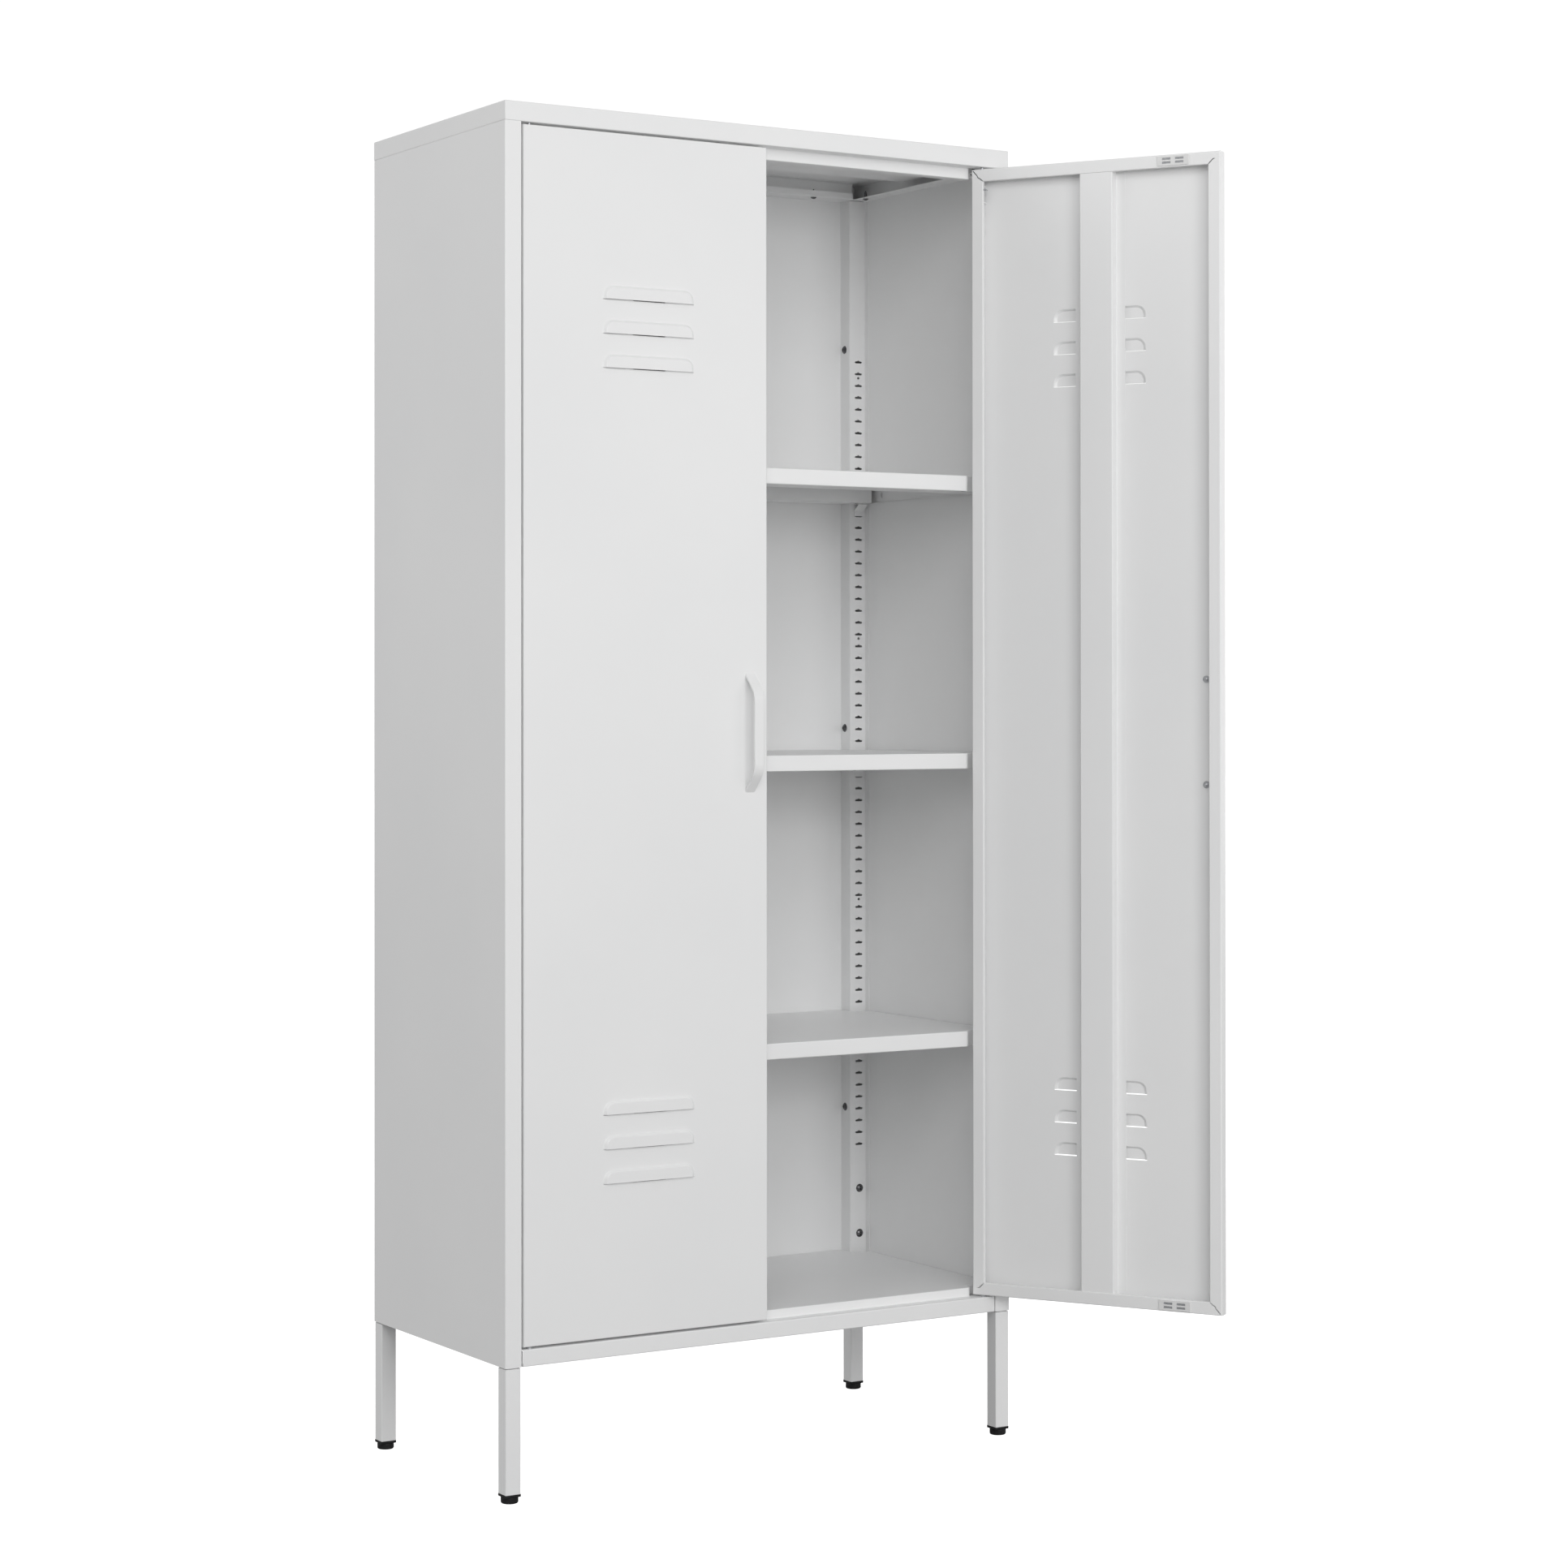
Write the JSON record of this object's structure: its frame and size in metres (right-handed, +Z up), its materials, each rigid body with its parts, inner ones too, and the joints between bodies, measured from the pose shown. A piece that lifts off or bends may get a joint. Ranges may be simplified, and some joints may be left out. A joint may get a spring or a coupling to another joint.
{
  "type": "locker cabinet",
  "caption": "Tall white steel cabinet on square legs, with two hinged louvred doors, bow handles and adjustable shelves on clips.",
  "frame": {"origin": "on the floor, at the centre of the rectangle of the four levelling feet, which is the centre of the carcass's footprint", "axes": "+X to the cabinet's right seen from the front, +Y to its back, +Z up; the doors are on the -Y side"},
  "size_m": [0.9642, 0.7034, 1.82],
  "materials": {
    "powder_coat": "white satin powder coat with a fine orange peel",
    "black_screws": "black-zinc screws, half gloss",
    "zinc_steel": "bright zinc",
    "black_plastic": "black moulded nylon, satin",
    "white_plastic": "white moulded plastic"
  },
  "bodies": {
    "carcass": {"lid": "powder_coat", "lid_cross_stiffener": "powder_coat", "lid_rear_stiffener": "powder_coat", "left_side_panel": "powder_coat", "right_side_panel": "powder_coat", "left_front_post": "powder_coat", "right_front_post": "powder_coat", "left_rear_post": "powder_coat", "right_rear_post": "powder_coat", "back_panel": "powder_coat", "bottom_panel": "powder_coat", "lower_shelf": "powder_coat", "middle_shelf": "powder_coat", "upper_shelf": "powder_coat", "lower_shelf_clips": "powder_coat", "middle_shelf_clips": "powder_coat", "upper_shelf_clips": "powder_coat", "front_left_leg": "powder_coat", "front_right_leg": "powder_coat", "rear_left_leg": "powder_coat", "rear_right_leg": "powder_coat", "front_left_leg_cap": "black_plastic", "front_right_leg_cap": "black_plastic", "rear_left_leg_cap": "black_plastic", "rear_right_leg_cap": "black_plastic", "leg_screws": "black_screws", "leg_nuts": "zinc_steel", "back_panel_screws": "black_screws", "lid_screws": "black_screws", "bottom_pivot_pins": "zinc_steel"},
    "left_door": {"left_door_skin": "powder_coat", "left_door_stiffener": "powder_coat", "left_handle": "powder_coat", "left_handle_screws": "zinc_steel", "left_handle_washers": "zinc_steel", "left_catch_housings": "white_plastic", "left_catch_poles": "zinc_steel", "left_pin_bracket": "powder_coat", "left_pin_spring": "zinc_steel", "left_bottom_bush": "black_plastic"},
    "right_door": {"right_door_skin": "powder_coat", "right_door_stiffener": "powder_coat", "right_handle": "powder_coat", "right_handle_screws": "zinc_steel", "right_handle_washers": "zinc_steel", "right_catch_housings": "white_plastic", "right_catch_poles": "zinc_steel", "right_pin_bracket": "powder_coat", "right_pin_spring": "zinc_steel", "right_bottom_bush": "black_plastic"},
    "left_top_pin": {"left_top_pin": "zinc_steel"},
    "right_top_pin": {"right_top_pin": "zinc_steel"},
    "front_left_foot": {"front_left_foot": "black_plastic"},
    "front_right_foot": {"front_right_foot": "black_plastic"},
    "rear_left_foot": {"rear_left_foot": "black_plastic"},
    "rear_right_foot": {"rear_right_foot": "black_plastic"}
  },
  "joints": [
    {"name": "left_door_hinge", "type": "hinge", "parent": "carcass", "child": "left_door", "pos_m": [-0.3609, -0.1916, 1], "axis": [0, 0, -1], "range_deg": [0, 121]},
    {"name": "right_door_hinge", "type": "hinge", "parent": "carcass", "child": "right_door", "pos_m": [0.3609, -0.1916, 1], "axis": [0, 0, 1], "range_deg": [-121, 0]},
    {"name": "left_top_pin_slide", "type": "slide", "parent": "left_door", "child": "left_top_pin", "axis": [0, 0, 1], "range_m": [-0.008, 0], "stiffness_N_per_m": 400, "springref_m": 0.006, "deforming": ["left_pin_spring"]},
    {"name": "right_top_pin_slide", "type": "slide", "parent": "right_door", "child": "right_top_pin", "axis": [0, 0, 1], "range_m": [-0.008, 0], "stiffness_N_per_m": 400, "springref_m": 0.006, "deforming": ["right_pin_spring"]},
    {"name": "front_left_foot_adjust", "type": "slide", "parent": "carcass", "child": "front_left_foot", "axis": [0, 0, -1], "range_m": [0, 0.012]},
    {"name": "front_right_foot_adjust", "type": "slide", "parent": "carcass", "child": "front_right_foot", "axis": [0, 0, -1], "range_m": [0, 0.012]},
    {"name": "rear_left_foot_adjust", "type": "slide", "parent": "carcass", "child": "rear_left_foot", "axis": [0, 0, -1], "range_m": [0, 0.012]},
    {"name": "rear_right_foot_adjust", "type": "slide", "parent": "carcass", "child": "rear_right_foot", "axis": [0, 0, -1], "range_m": [0, 0.012]}
  ]
}
